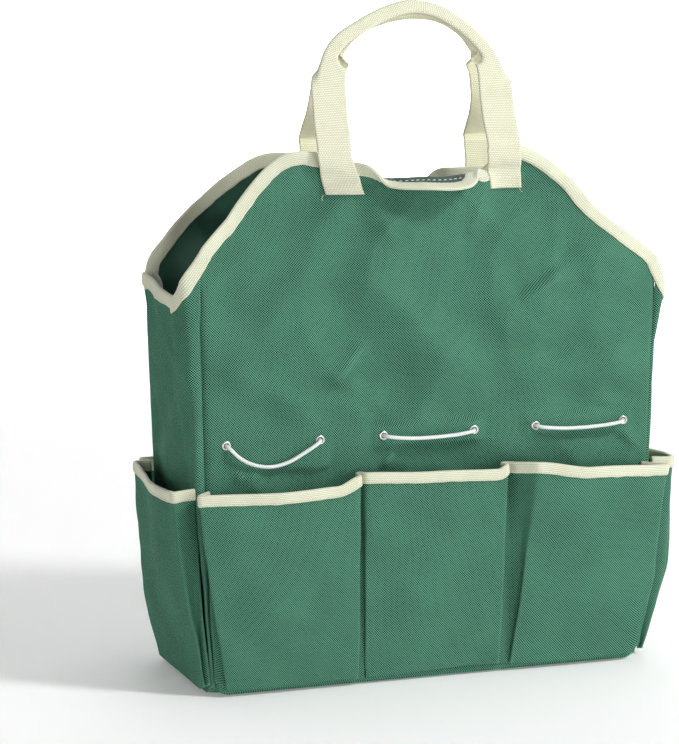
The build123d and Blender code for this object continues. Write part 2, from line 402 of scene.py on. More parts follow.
# Materials ------------
class Finish:
    """A node material, with short names for the few nodes that these cloths need."""

    def __init__(self, name, roughness, sheen=0.0, metallic=0.0, specular=0.5):
        self.material = bpy.data.materials.new(name)
        self.material.use_nodes = True
        self.tree = self.material.node_tree
        self.shader = self.tree.nodes["Principled BSDF"]
        for socket, value in (
            ("Roughness", roughness), ("Metallic", metallic), ("Specular IOR Level", specular),
            ("Sheen Weight", sheen), ("Sheen Roughness", 0.5),
        ):
            self.shader.inputs[socket].default_value = value

    def put(self, value, socket):
        """A link from another node, a number, or a colour given as three numbers."""
        if isinstance(value, bpy.types.NodeSocket):
            self.tree.links.new(value, socket)
        else:
            socket.default_value = (*value, 1) if isinstance(value, tuple) else value

    def node(self, kind, inputs, output=0, **settings):
        """An output of a new node with those inputs, by name or number, and settings."""
        node = self.tree.nodes.new("ShaderNode" + kind)
        for setting, value in settings.items():
            setattr(node, setting, value)
        for key, value in inputs.items():
            self.put(value, node.inputs[key])
        return node.outputs[output]

    def sum(self, operation, *values):
        return self.node("Math", dict(enumerate(values)), operation=operation)

    def add(self, a, b):
        return self.sum("ADD", a, b)

    def times(self, a, b):
        return self.sum("MULTIPLY", a, b)

    def times_plus(self, a, b, c):
        return self.sum("MULTIPLY_ADD", a, b, c)

    def mottle(self, tone, cloud, amount):
        """The tone, lighter and darker by up to half the amount where the cloud says so."""
        return self.times_plus(self.ramp(cloud, 0.3, 0.7, -0.5, 0.5), amount, tone)

    def weave_place(self):
        """The cloth's own coordinates in mm: both, along it and up it."""
        place = self.node("UVMap", {}, uv_map="cloth")
        return place, *[self.node("SeparateXYZ", {0: place}, k) for k in (0, 1)]

    def object_place(self):
        return self.node("TexCoord", {}, "Object")

    def edges(self):
        return self.node("NewGeometry", {}, "Pointiness")

    def wave(self, coordinate, period, phase=0.0):
        """0 to 1 and back over each period."""
        angle = self.times_plus(coordinate, 2 * math.pi / period, phase)
        return self.times_plus(self.sum("SINE", angle), 0.5, 0.5)

    def cloud(self, place, scale, detail):
        return self.node("TexNoise", {"Vector": place, "Scale": scale, "Detail": detail})

    def ramp(self, value, low, high, to_low=0.0, to_high=1.0):
        return self.node("MapRange", dict(enumerate((value, low, high, to_low, to_high))))

    def blend(self, share, a, b):
        """Colour a where share is 0, b where it is 1."""
        return self.node("Mix", {0: share, 6: a, 7: b}, 2, data_type="RGBA")

    def done(self, colour, height, depth, roughness=None):
        """Set the colour and raise the surface by height, 0 to 1, times depth in mm."""
        self.put(colour, self.shader.inputs["Base Color"])
        bump = self.node("Bump", {"Distance": depth * MM, "Strength": 1.0, "Height": height})
        self.put(bump, self.shader.inputs["Normal"])
        if roughness is not None:
            self.put(roughness, self.shader.inputs["Roughness"])
        return self.material


def oxford(name, light, dark, worn, period, contrast):
    """Heavy polyester oxford: a lattice of diagonal yarn floats, one diagonal the stronger."""
    finish = Finish(name, 0.7, specular=0.015)
    place, x, y = finish.weave_place()
    drift = finish.ramp(finish.cloud(place, 0.045, 2.0), 0.0, 1.0, -0.6, 0.6)
    strong = finish.wave(finish.add(finish.add(x, y), drift), period)
    weak = finish.wave(finish.sum("SUBTRACT", finish.sum("SUBTRACT", x, y), drift), period)
    lattice = finish.times_plus(strong, 0.54, finish.times(weak, 0.46))
    middle = 0.53
    tone = finish.ramp(lattice, middle - 0.5 / contrast, middle + 0.5 / contrast)
    tone = finish.mottle(tone, finish.cloud(place, 1.1, 2.0), 0.06)
    tone = finish.mottle(tone, finish.cloud(place, 0.022, 4.0), 0.13)
    colour = finish.blend(finish.ramp(tone, 0.0, 1.0), dark, light)
    rubbed = finish.times(finish.ramp(finish.edges(), 0.53, 0.62), 0.45)
    colour = finish.blend(rubbed, colour, worn)
    return finish.done(colour, lattice, 0.2, finish.ramp(tone, 0.0, 1.0, 0.74, 0.52))


def coating(name, tint, shade, yarn):
    """The cloth's inner face: its yarns, drowned in a smooth rubbery coat."""
    finish = Finish(name, 0.5, specular=0.2)
    place, x, y = finish.weave_place()
    yarns = finish.times(finish.wave(x, yarn), finish.wave(y, yarn))
    patch = finish.cloud(place, 0.03, 5.0)
    scuff = finish.cloud(place, 0.4, 4.0)
    colour = finish.blend(finish.ramp(patch, 0.3, 0.7), shade, tint)
    colour = finish.blend(finish.ramp(scuff, 0.62, 0.8, 0.0, 0.3), colour, tint)
    return finish.done(colour, yarns, 0.05, finish.ramp(scuff, 0.3, 0.7, 0.42, 0.62))


def ribbed(name, light, dark, grime_and_shade, rib, across, depth):
    """Woven tape: ribs rib mm apart along it, crossed by finer yarns across mm apart."""
    finish = Finish(name, 0.8, sheen=0.25, specular=0.25)
    place, x, y = finish.weave_place()
    row = finish.sum("FLOOR", finish.sum("DIVIDE", y, across))
    floats = finish.wave(finish.times_plus(row, rib / 2, x), rib)
    yarns = finish.wave(y, across, -math.pi / 2)
    height = finish.times(finish.times_plus(floats, 0.7, 0.3), yarns)
    fuzz = finish.cloud(place, 1.6, 4.0)
    patch = finish.cloud(place, 0.05, 3.0)
    tone = finish.mottle(height, fuzz, 0.5)
    colour = finish.blend(finish.ramp(tone, 0.0, 0.75), dark, light)
    colour = finish.blend(finish.ramp(patch, 0.5, 0.8, 0.0, 0.25), colour, grime_and_shade)
    # Darker towards the grime colour where the surface curves in: painted shade in the hollows.
    hollow_shade = finish.ramp(finish.edges(), 0.47, 0.4, 0.0, 0.5)
    colour = finish.blend(hollow_shade, colour, grime_and_shade)
    return finish.done(colour, finish.times_plus(fuzz, 0.35, height), depth)


def spun(name, light, dark, period):
    """Plied thread or covered elastic, marked by fine slanting yarns period mm apart."""
    finish = Finish(name, 0.6, sheen=0.2, specular=0.4)
    place = finish.object_place()
    x, y, z = [finish.node("SeparateXYZ", {0: place}, k) for k in range(3)]
    slant = finish.add(finish.add(x, finish.times(z, 0.8)), y)
    twist = finish.wave(slant, period * MM)
    fuzz = finish.cloud(place, 900.0, 3.0)
    tone = finish.times_plus(fuzz, 0.6, finish.times(twist, 0.6))
    colour = finish.blend(finish.ramp(tone, 0.15, 0.85), dark, light)
    return finish.done(colour, twist, 0.12)


def plated(name):
    """Nickel-plated brass with fine drawing marks, and painted shade: darker grey in its hollows."""
    finish = Finish(name, 0.28, metallic=1.0)
    place = finish.object_place()
    marks = finish.cloud(place, 2200.0, 4.0)
    haze = finish.cloud(place, 160.0, 3.0)
    colour = finish.blend(finish.ramp(haze, 0.35, 0.7), (0.72, 0.72, 0.7), (0.5, 0.5, 0.48))
    # Darker grey where the surface curves in: painted shade in the ring's hollows.
    colour = finish.blend(finish.ramp(finish.edges(), 0.5, 0.4), colour, (0.25, 0.25, 0.24))
    return finish.done(colour, marks, 0.02, finish.ramp(haze, 0.3, 0.7, 0.2, 0.42))


def fibreboard(name):
    """Pressed board of grey-brown fibres."""
    finish = Finish(name, 0.85, specular=0.2)
    place = finish.object_place()
    fibres = finish.cloud(place, 420.0, 6.0)
    patch = finish.cloud(place, 30.0, 3.0)
    colour = finish.blend(finish.ramp(fibres, 0.35, 0.65), (0.2, 0.17, 0.13), (0.4, 0.35, 0.28))
    colour = finish.blend(finish.ramp(patch, 0.4, 0.7, 0.0, 0.4), colour, (0.3, 0.27, 0.22))
    return finish.done(colour, fibres, 0.2)


green = oxford(
    "green_oxford", (0.136, 0.378, 0.254), (0.001, 0.007, 0.003), (0.14, 0.35, 0.25),
    period=1.95, contrast=4.0,
)
inner = coating("green_coating", (0.027, 0.088, 0.060), (0.016, 0.052, 0.035), yarn=1.1)
cream = ribbed(
    "cream_tape", (0.80, 0.81, 0.66), (0.50, 0.51, 0.36), (0.45, 0.45, 0.31),
    rib=1.5, across=1.5, depth=0.15,
)
strap = ribbed(
    "cream_webbing", (0.86, 0.86, 0.70), (0.50, 0.50, 0.35), (0.45, 0.44, 0.29),
    rib=2.1, across=1.5, depth=0.22,
)
# The back handle is the same cream webbing as the front one, painted lighter: painted light on the rear
# straps, which stand in shade.
painted_light_strap = ribbed(
    "painted_light_webbing", (0.98, 0.97, 0.74), (0.72, 0.71, 0.48), (0.62, 0.61, 0.37),
    rib=2.1, across=1.5, depth=0.22,
)
grey_tape = ribbed(
    "grey_tape", (0.80, 0.82, 0.80), (0.56, 0.58, 0.57), (0.33, 0.34, 0.33),
    rib=1.2, across=0.9, depth=0.12,
)
cream_thread = spun("cream_thread", (0.80, 0.78, 0.58), (0.48, 0.46, 0.30), 0.8)
white_thread = spun("white_thread", (0.86, 0.87, 0.83), (0.55, 0.56, 0.52), 0.8)
elastic = spun("white_elastic", (0.88, 0.90, 0.90), (0.56, 0.60, 0.62), 1.1)
metal = plated("nickel")
board = fibreboard("grey_board")


# Camera, floor and light ------------
def stand_camera():
    """A long lens from the photograph's side: to the left of the front and a little above."""
    azimuth = math.radians(-19.6)
    elevation = math.radians(9.4)
    target = Vector((-0.0532, 0.0, 0.2397))
    distance = 2.411
    away = Vector((
        math.sin(azimuth) * math.cos(elevation),
        -math.cos(azimuth) * math.cos(elevation),
        math.sin(elevation),
    ))
    lens = bpy.data.cameras.new("camera")
    lens.lens = 145.2
    lens.sensor_width = 36
    camera = new_object("camera", lens)
    camera.location = target + away * distance
    camera.rotation_euler = (-away).to_track_quat("-Z", "Y").to_euler()
    bpy.context.scene.camera = camera


def soft_light(name, place, size, power, aim=(0, 0, 0.22), spread=180):
    lamp = bpy.data.lights.new(name, "AREA")
    lamp.shape = "DISK"
    lamp.size = size
    lamp.energy = power
    lamp.spread = math.radians(spread)
    thing = new_object(name, lamp)
    thing.location = place
    thing.rotation_euler = (Vector(aim) - Vector(place)).to_track_quat("-Z", "Y").to_euler()


def lay_floor():
    """White paper, level under the bag, that curves up on all four sides far from it."""
    finish = Finish("paper", 0.9, specular=0.1)
    place = finish.object_place()
    grain = finish.cloud(place, 60.0, 4.0)
    colour = finish.blend(finish.ramp(grain, 0.3, 0.7), (0.88, 0.88, 0.88), (0.90, 0.90, 0.90))
    reach = finish.node("VectorMath", {0: place}, "Value", operation="LENGTH")
    # The paper glows white, faintly under the bag and more strongly far from it: painted light that
    # fills the shadows on the floor.
    finish.put((1, 1, 1), finish.shader.inputs["Emission Color"])
    glow = finish.ramp(reach, 2.2, 5.0, 0.16, 0.5)
    finish.put(glow, finish.shader.inputs["Emission Strength"])
    paper = finish.done(colour, grain, 0.02)
    flat_side, flat_back, radius, below = 6.5, 2.2, 1.1, 0.0004
    angles = [math.radians(10 * k) for k in range(10)]
    wall = [(radius * math.sin(a), radius - radius * math.cos(a)) for a in angles]
    wall += [(radius + 0.02, 2.2), (radius + 0.02, 3.6)]
    near = [(-flat_side - a, b) for a, b in reversed(wall)]
    across = near + [(0, 0)] + [(flat_side + a, b) for a, b in wall]
    rows = []
    for y, z in near + [(-3, 0), (0, 0)] + [(flat_back + a, b) for a, b in wall]:
        rows.append([Vector((x, y, z + rise - below)) / MM for x, rise in across])
    grid_object("floor", rows, lambda j, i: (i, j), [paper], flip=True)


def light_room():
    world = bpy.data.worlds.new("room")
    world.use_nodes = True
    world.node_tree.nodes["Background"].inputs[0].default_value = (1, 1, 1, 1)
    world.node_tree.nodes["Background"].inputs[1].default_value = 0.04
    bpy.context.scene.world = world
    bpy.context.scene.view_settings.view_transform = "Standard"
    soft_light("key", (1.5, -1.6, 2.1), 0.5, 56)
    soft_light("top", (0.4, 0.1, 2.6), 1.6, 12)
    soft_light("front", (0.5, -2.3, 0.22), 0.8, 12)
    soft_light("backdrop", (1.1, 1.2, 2.6), 1.4, 95, aim=(1.15, 3.2, 0.7), spread=90)


stand_camera()
lay_floor()
light_room()


# Elastic tool loops ------------
# The routes of part.py: (along, up, out) from a loop's middle at eyelet height, on the wall's face.
tight_route = [
    (-38.5, 0, -3.8), (-38.5, 0, 1.2), (-35, -0.7, 5.2), (-27, -1.8, 5.6), (-13, -3.2, 4.4),
    (4, -3.4, 3.8), (19, -2.7, 4.2), (29, -1.5, 5.4), (35.6, -0.5, 4.8), (38.5, 0, 1.0),
    (38.5, 0, -3.8),
]
slack_route = [
    (-38.5, 0, -3.8), (-38.5, 0, 1.2), (-36, -2.6, 4.6), (-31.5, -8, 5.4), (-21, -15, 4.6),
    (-5, -19, 3.8), (11, -16, 4.2), (24.5, -8.4, 4.8), (33, -3.4, 5.4), (37.2, -0.6, 4.2),
    (38.5, 0, 0.6), (38.5, 0, -3.8),
]
cord_radius = 1.5
cord_sides = 14
cord_step = 0.9


def nurbs_line(points):
    """The smooth line, in mm, of a NURBS spline with those control points."""
    curve = bpy.data.curves.new("route", "CURVE")
    curve.dimensions = "3D"
    curve.resolution_u = 10
    spline = curve.splines.new("NURBS")
    spline.points.add(len(points) - 1)
    for handle, point in zip(spline.points, points):
        handle.co = (*(point * MM), 1)
    spline.order_u = 3
    spline.use_endpoint_u = True
    thing = bpy.data.objects.new("route", curve)
    mesh = bpy.data.meshes.new_from_object(thing)
    line = [vertex.co / MM for vertex in mesh.vertices]
    bpy.data.objects.remove(thing)
    bpy.data.meshes.remove(mesh)
    bpy.data.curves.remove(curve)
    return line


def tube_rings(line, radius, sides):
    """Rings of points round a line, without twist. radius gives the size at each point."""
    rings = []
    side = heading(line, 0).cross(Vector((0, 0, 1))).normalized()
    for i, point in enumerate(line):
        along = heading(line, i)
        side = (side - along * side.dot(along)).normalized()
        rings.append(circle(point, side, along.cross(side), radius(i), sides))
    return rings


def braided_radius(i):
    """The cover's braid makes the cord swell a little at every third point or so."""
    return cord_radius * (1 + 0.025 * math.sin(i * 2.1))


def make_cords(face, wall):
    for place, middle in tool_loops.items():
        route = slack_route if place == "left" else tight_route
        points = [wall(middle + along, eyelet_height + up, out) for along, up, out in route]
        line = nurbs_line(points)
        rings = tube_rings(even(line, cord_step), braided_radius, cord_sides)
        body = f"{face}_{place}_cord"
        cord = sweep(f"{body}_elastic", rings, [elastic], step=cord_step)
        start, end = [wall(middle, eyelet_height, out) for out in (0.0, 3.2)]
        blend_piece(cord, [body])


make_cords("front", front_wall)
make_cords("back", back_wall)


# Wall panels ------------
def crease(x, up, a, b, width, depth):
    """A soft ridge, or a furrow where depth is negative, from a to b, (x, up) points."""
    run_x, run_y = b[0] - a[0], b[1] - a[1]
    length = math.hypot(run_x, run_y)
    along = ((x - a[0]) * run_x + (up - a[1]) * run_y) / length
    aside = abs((x - a[0]) * run_y - (up - a[1]) * run_x) / length
    reach = width * 1.8
    if aside > reach or not -width < along < length + width:
        return 0.0
    ends = smooth((along + width) / (width * 2)) * smooth((length + width - along) / (width * 2))
    return depth * ends * (1 - min(1.0, aside / reach)) ** 1.5


def near_cord(x, up):
    """1 beside an elastic loop, where the cloth lies flat under it."""
    best = 0.0
    for place, middle in tool_loops.items():
        reach = 26 if place == "left" else 13
        across = smooth((eyelet_spread + 12 - abs(x - middle)) / 8)
        high = smooth((up - (eyelet_height - reach)) / 6) * smooth((eyelet_height + 12 - up) / 6)
        best = max(best, across * high)
    return best


def edge_roll(distance, depth, width):
    """How far cloth turns in beside a seam."""
    return -depth * (1 - min(1.0, max(0.0, distance) / width)) ** 2


def ear(up):
    """How far the right front corner stands out sideways near the rim."""
    return 9.5 * smooth((up - 252) / 56)


def wrap(is_right, up):
    """How far a gusset's front edge reaches round the corner onto the bag's front."""
    return 1.5 + ear(up) if is_right else 1.0 + 0.035 * up


def panel_edge(x, up, is_front):
    """Half the width of a long panel at a height, on the side of x."""
    if is_front and x < 0:
        return seam_x(up) - wrap(False, up)
    return seam_x(up) - 1.0


front_seed = 1
hem = 1.3             # the walls end this far above the floor
front_rim = [
    (-188, 346), (-184.5, 352), (-176, 360.5), (-163, 373), (-151, 388), (-140, 401),
    (-129, 412), (-117, 420), (-104, 423), (-88, 421), (-72, 416.5), (-58, 413.5), (-44, 419),
    (-26, 427), (0, 430), (24, 429.5), (34, 422), (42, 410), (48, 404), (55, 408.5), (62, 413),
    (70, 417), (80, 421.5), (92, 418), (106, 409), (121, 397), (134, 382), (145, 370.5),
    (162, 356.5), (180, 343.5), (191, 336), (199, 329),
]
back_rim = [
    (-198.5, 307), (-198, 319), (-193.5, 334), (-181, 349), (-166, 365), (-151, 379), (-136, 392),
    (-121, 403), (-107, 411), (-92, 414), (-72, 412), (-50, 407), (-20, 405), (20, 401), (45, 398),
    (70, 398), (90, 397), (104, 391), (121, 380), (140, 366), (160, 351), (181, 337), (194, 326),
    (198, 316), (198.5, 307),
]
front_creases = [
    ((-55, 270), (-80, 240), 7, 1.9),
    ((-80, 240), (-36, 209), 7, -1.7),
    ((-62, 252), (-44, 232), 9, -1.4),
    ((-27, 192), (-35, 173), 4, 1.3),
    ((124, 338), (72, 303), 9, -1.7),
    ((133, 313), (99, 298), 7, -1.3),
    ((112, 322), (80, 300), 6, 1.2),
    ((95, 256), (137, 263), 8, -1.5),
    ((167, 191), (188, 168), 4, 1.8),
    ((150, 214), (186, 206), 6, 1.6),
    ((-166, 190), (-158, 172), 4, 1.7),
    ((-150, 186), (-146, 170), 4, 1.2),
    ((-88, 190), (-96, 172), 5, 1.3),
    ((-160, 300), (-100, 330), 16, 1.5),
    ((20, 300), (60, 330), 16, 1.2),
    ((-30, 350), (-52, 392), 8, 1.6),
    ((34, 356), (54, 396), 8, 1.6),
    ((-120, 232), (-40, 222), 12, 0.9),
]
back_creases = [
    ((-120, 330), (-60, 290), 10, -1.8),
    ((40, 340), (100, 300), 10, 1.6),
    ((-40, 250), (50, 262), 12, -1.5),
    ((88, 226), (150, 240), 9, 1.4),
    ((-150, 240), (-96, 250), 9, 1.4),
    ((-30, 340), (-54, 384), 8, 1.8),
    ((30, 340), (56, 380), 8, 1.8),
    ((-4, 226), (-30, 262), 8, 1.2),
]


def panel_relief(x, up, seed):
    """How far a long panel stands out: broad swells, sharp-bottomed folds and small ripples."""
    relief = 4.2 + 10.0 * ripple(x, up, 120, seed) + 3.5 * ripple(x, up, 48, seed + 1)
    relief += 0.6 * ripple(x, up, 17, seed + 2)
    relief -= 17.0 * abs(ripple(x + up * 0.4, up, 95, seed + 5))
    relief -= 9.0 * abs(ripple(x - up * 0.5, up, 52, seed + 6))
    above_cords = hump(x / 200) * smooth((up - 214) / 66) * smooth((420 - up) / 120)
    in_pockets = hump(x / 215) * (1 - smooth((up - 156) / 34))
    return relief + 7.0 * above_cords - 4.0 * in_pockets


def panel_shape(creases, fold, turn, span, seed, slump):
    """The shape of a long wall. Between the handles its rim flops outwards at height fold,
    over the span (start, full, full, end) along it. slump is its lean inwards near the rim."""
    left_end, left_full, right_full, right_end = span

    def shape(x, up):
        window = smooth((x - left_end) / (left_full - left_end))
        window *= smooth((right_end - x) / (right_end - right_full))
        sway = 1.3 * ripple(x, 0, 34, seed)
        height, away = fold_over(up, fold + sway, 3.4, turn * window)
        edge = panel_edge(x, up, seed == front_seed) - abs(x)
        relief = panel_relief(x, up, seed)
        for a, b, width, depth in creases:
            relief += 3.2 * crease(x, up, a, b, width, depth)
        free = smooth(edge / 34) * smooth((up - 2) / 30)
        relief *= free * (1 - 0.92 * near_cord(x, up))
        relief -= slump * smooth((up - 300) / 110) * hump(x / 230)
        relief += edge_roll(edge, 4.4, 5.5) * (1 - smooth((up - 310) / 20))
        relief += edge_roll(up - hem, 1.2, 4.0)
        return x, height, relief + away

    return shape


front_cloth = Cloth(front_wall, panel_shape(
    front_creases, fold=397.5, turn=1.87, span=(-64, -36, 36, 51), seed=front_seed, slump=0.0,
))
back_cloth = Cloth(back_wall, panel_shape(
    back_creases, fold=381.0, turn=2.6, span=(-62, -30, 28, 58), seed=12, slump=11.0,
))


def fan(rim, foot_left, foot_right, step):
    """Rows of flat-pattern points from a straight foot up to the rim."""
    top = spaced(rim, step)
    tall = round(max(p.y for p in top) / step)
    rows = []
    for j in range(tall + 1):
        row = []
        for i, high in enumerate(top):
            low = Vector((mix(foot_left, foot_right, i / (len(top) - 1)), hem))
            row.append(low.lerp(high, j / tall))
        rows.append(row)
    return rows


def cut_holes(thing, cloth, radius=2.7, sides=16):
    """Open the cloth inside each eyelet."""
    work = bmesh.new()
    across = Vector((1, 0, 0))
    for x, _ in eyelets_at:
        normal = cloth.normal(x, eyelet_height)
        centre = cloth.at(x, eyelet_height)
        rise = normal.cross(across)
        rings = [circle(centre + normal * out, across, rise, radius, sides) for out in (-6, 6)]
        for ring in band(work, rings):
            work.faces.new(ring)
    punch = built(work, "punch", [])
    cut = thing.modifiers.new("holes", "BOOLEAN")
    cut.object = punch
    cut.operation = "DIFFERENCE"
    cut.solver = "EXACT"
    applied(thing)
    bpy.data.objects.remove(punch)


def make_wall(name, cloth, rim, foot_left, foot_right, replaced, holes=False):
    rows = fan(rim, foot_left, foot_right, weave_step)
    points = [[cloth.at(p.x, p.y) for p in row] for row in rows]
    thing = grid_object(
        name, points, lambda j, i: tuple(rows[j][i]), [green, inner], flip=cloth.mirrored
    )
    thicken(thing, fabric - 0.1, inside=1)
    if holes:
        cut_holes(thing, cloth)
    finish_piece(thing, [replaced])


def tape_section(width, gap):
    """Closed outline of folded tape, as (depth from the edge, lift off the cloth's middle)."""
    face = fabric / 2 + gap
    over = face + tape
    outer = [
        (width, face + tape * 0.55), (width - 0.7, over), (width * 0.7, over + 0.08),
        (width * 0.4, over + 0.1), (1.4, over + 0.1), (0.2, over * 0.92), (-0.55, over * 0.6),
        (-0.85, 0),
    ]
    back = [(depth, -lift) for depth, lift in reversed(outer[:-1])]
    inside = [(width, -face), (0.9, -face), (0.1, 0), (0.9, face), (width, face)]
    return outer + back + inside


def bind(name, cloth, rim, replaced, step=2.2, seed=3, trim=0.0):
    """Tape folded over a cloth's edge, with its row of stitches on both faces."""
    line = spaced(rim, step)
    rings = []
    threads = {1: [], -1: []}
    normals = []
    for i, here in enumerate(line):
        along = heading(line, i)
        inwards = Vector((along.y, -along.x))
        width = tape_width - trim + 0.5 * ripple(i * step, 0, 9, seed)
        gap = 0.12 + 0.12 * (1 + ripple(i * step, 5, 9, seed))
        ring = []
        for depth, lift in tape_section(width, gap):
            spot = here + inwards * depth
            ring.append(cloth.at(spot.x, spot.y, lift))
        rings.append(ring)
        seam = here + inwards * (width - 1.7)
        normals.append(cloth.normal(seam.x, seam.y))
        for side, points in threads.items():
            points.append(cloth.at(seam.x, seam.y, side * (fabric / 2 + gap + tape + 0.1)))
    thing = sweep(name, rings, [cream], flip=cloth.mirrored, step=step)
    finish_piece(thing, [replaced])
    for side, points in threads.items():
        sewing.run(points, [normal * side for normal in normals])


sewing = Threads()

panel_foot = half_width - 1
make_wall("front_wall_cloth", front_cloth, front_rim, -panel_foot, panel_foot, "front_panel", True)
make_wall("back_wall_cloth", back_cloth, back_rim, -panel_foot, panel_foot, "back_panel", True)
bind("front_rim_tape", front_cloth, front_rim, "front_rim_binding")
bind("back_rim_tape", back_cloth, back_rim, "back_rim_binding")


# Gussets ------------
def gusset_shape(seed, is_right):
    """The shape of an end wall, whose front edge turns round the corner onto the front."""

    def shape(along, up):
        depth = seam_depth(up) - 0.6
        reach = wrap(is_right, up)
        radius = 0.7 * reach if is_right else min(0.7 * reach, 3.0)
        front_edge = depth + reach - 0.43 * radius
        free = smooth((depth + along) / 16) * smooth((front_edge - along) / 14) * smooth(up / 40)
        high = smooth((up - 150) / 120)
        relief = 2.2 * hump((along - depth + 14) / 16) * high
        relief -= 4.5 * hump((along - 4) / 34) * high
        relief += 5.0 * ripple(along, up, 70, seed) - 5.0 * abs(ripple(along, up, 44, seed + 1))
        for a, b, width, fold_depth in gusset_creases:
            relief += crease(along, up, a, b, width, fold_depth)
        relief *= free
        if is_right:
            relief += ear(up) * smooth((along + 10) / 62)
        turned, away = fold_over(along, depth - radius, radius, math.pi / 2)
        flat = 1 - smooth((up - 290) / 20)
        groove = edge_roll(depth + along, 2.0, 5.0) + edge_roll(up - hem, 1.2, 4.0)
        sunk = edge_roll(front_edge - along, 3.6, 4.5) * flat
        return turned + sunk * smooth((along - depth) / 3), up, relief + groove * flat - away

    return shape


gusset_creases = [
    ((36, 318), (44, 190), 6, 2.2),
    ((-34, 306), (20, 236), 9, 1.8),
    ((-12, 232), (38, 196), 8, -1.6),
    ((-40, 220), (-6, 180), 8, 1.6),
]
left_rim = [
    (-57, 320), (-48, 317.5), (-33, 313), (-14, 309.5), (6, 307.5), (24, 308), (36, 310.5),
    (44, 315), (51, 322), (58.5, 333), (68, 347),
]
right_rim = [
    (-57, 318), (-44, 315), (-24, 308), (0, 301), (22, 298), (38, 299), (48, 303), (55, 311),
    (60, 320), (65, 330),
]
left_cloth = Cloth(left_wall, gusset_shape(31, False))
right_cloth = Cloth(right_wall, gusset_shape(37, True))
gusset_foot = half_depth - 1
for side, cloth, rim in (("left", left_cloth, left_rim), ("right", right_cloth, right_rim)):
    make_wall(f"{side}_gusset_cloth", cloth, rim, -gusset_foot, gusset_foot + 0.8, f"{side}_gusset")
    bind(f"{side}_gusset_tape", cloth, rim, f"{side}_gusset_binding", seed=8)


# Base ------------
def rounded_outline(half_x, half_y, radius, step):
    """Points round a rectangle with round corners, anticlockwise."""
    points = []
    for cx, cy, start in ((1, 1, 0), (-1, 1, 90), (-1, -1, 180), (1, -1, 270)):
        for k in range(7):
            angle = math.radians(start + 15 * k)
            x = cx * (half_x - radius) + radius * math.cos(angle)
            y = cy * (half_y - radius) + radius * math.sin(angle)
            points.append(Vector((x, y)))
    points.append(points[0].copy())
    return even(points, step)[:-1]


def plate(name, inset_x, inset_y, radius, height, thickness, material, replaced):
    """A flat cloth in a round-cornered rectangle, its height a function of (x, y)."""
    outline = rounded_outline(half_width - inset_x, half_depth - inset_y, radius, 3.0)
    rings = 22
    innermost = 0.012
    flat = []
    for j in range(rings + 1):
        share = innermost + (1 - innermost) * (j / rings) ** 0.8
        flat.append([Vector((p.x * share, p.y * share)) for p in outline])
    rows = [[rounded_corner(Vector((p.x, p.y, height(p.x, p.y)))) for p in row] for row in flat]
    thing = grid_object(name, rows, lambda j, i: tuple(flat[j][i]), [material], flip=True, ring=True)
    cap(thing, [range(len(outline))])
    thicken(thing, thickness)
    finish_piece(thing, [replaced])


def floor_sag(x, y):
    edge = min(half_width - abs(x), half_depth - abs(y))
    return 0.7 + 0.9 * (1 - smooth(edge / 5)) + 0.12 * ripple(x, y, 40, 51) * smooth(edge / 12)


def lining_puff(x, y):
    edge = min(half_width - 3 - abs(x), half_depth - 2.5 - abs(y))
    puff = 0.5 + 0.45 * ripple(x, y, 60, 55) + 0.25 * ripple(x, y, 18, 56)
    return board_top + 0.55 + max(0.0, puff) * smooth(edge / 14)


board_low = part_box("base_board")[0].z / MM
board_middle = (board_low + board_top) / 2
plate("bottom_cloth", 0.8, 0.8, 7, floor_sag, 1.0, green, "bottom_panel")
plate("base_lining_cloth", 3.2, 2.7, 9, lining_puff, 0.8, inner, "base_lining")
plate(
    "base_board_sheet", 2.6, 2.2, 30, lambda x, y: board_middle, board_top - board_low, board,
    "base_board",
)


# Tape over the seams inside the corners ------------
def seam_tape(name, cloth, side, seed, top):
    """A tape from the base up to a height, narrower where its end goes under the rim."""
    section = [
        (0, 0.2), (0.4, 0.9), (2.5, 1.4), (6.0, 1.4), (8.4, 0.9), (8.8, 0.2), (6.0, 0.0), (2.5, 0.0),
    ]
    count = 120
    rings = []
    for k in range(count + 1):
        up = mix(9, top, k / count)
        seam = panel_edge(side, up, cloth is front_cloth) - 5.5 - 0.5 * ripple(up, 0, 20, seed)
        width = mix(0.3, 1.0, smooth((top - up) / 16))
        ring = []
        for across, lift in section:
            ring.append(cloth.at(side * (seam - across * width), up, -fabric / 2 - 0.05 - lift))
        rings.append(ring)
    thing = sweep(f"{name}_cloth", rings, [grey_tape], step=2.4)
    finish_piece(thing, [name])


for side, direction, front_top in (("left", -1, 341), ("right", 1, 331)):
    seam_tape(f"front_{side}_seam_tape", front_cloth, direction, 61, front_top)
    seam_tape(f"back_{side}_seam_tape", back_cloth, direction, 67, 326)


